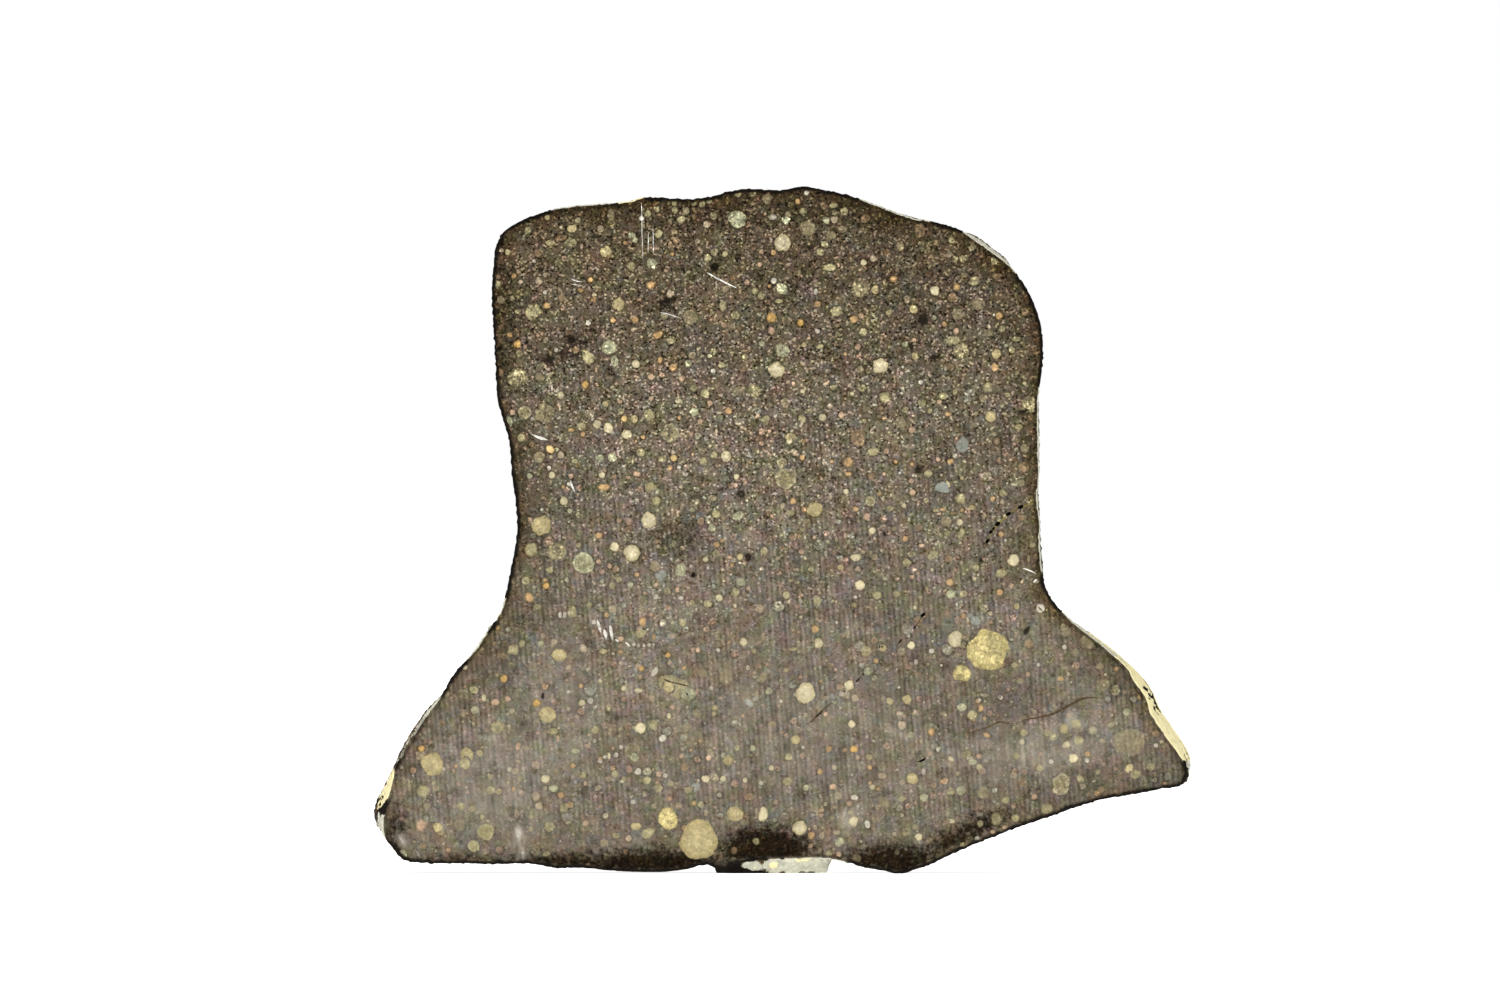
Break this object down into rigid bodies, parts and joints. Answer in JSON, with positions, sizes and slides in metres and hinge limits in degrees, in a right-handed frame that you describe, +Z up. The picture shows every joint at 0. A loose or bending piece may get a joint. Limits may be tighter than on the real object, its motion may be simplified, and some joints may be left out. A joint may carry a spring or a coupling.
{
  "type": "chondrite meteorite slice",
  "caption": "Thick sawn slice of a stony meteorite with round mineral grains, standing on edge on a flat spot of its natural rim.",
  "frame": {"origin": "under the middle of the slice, in the plane that it stands on", "axes": "+Z up, +X along the slice's length, -Y out of the front sawn face"},
  "size_m": [0.0412, 0.005, 0.0344],
  "materials": {
    "stone": "sawn and part-polished faces with round olive, cream and orange grains, weathered rim with pale crust"
  },
  "bodies": {
    "root": {"meteorite_slice": "stone"}
  },
  "joints": []
}
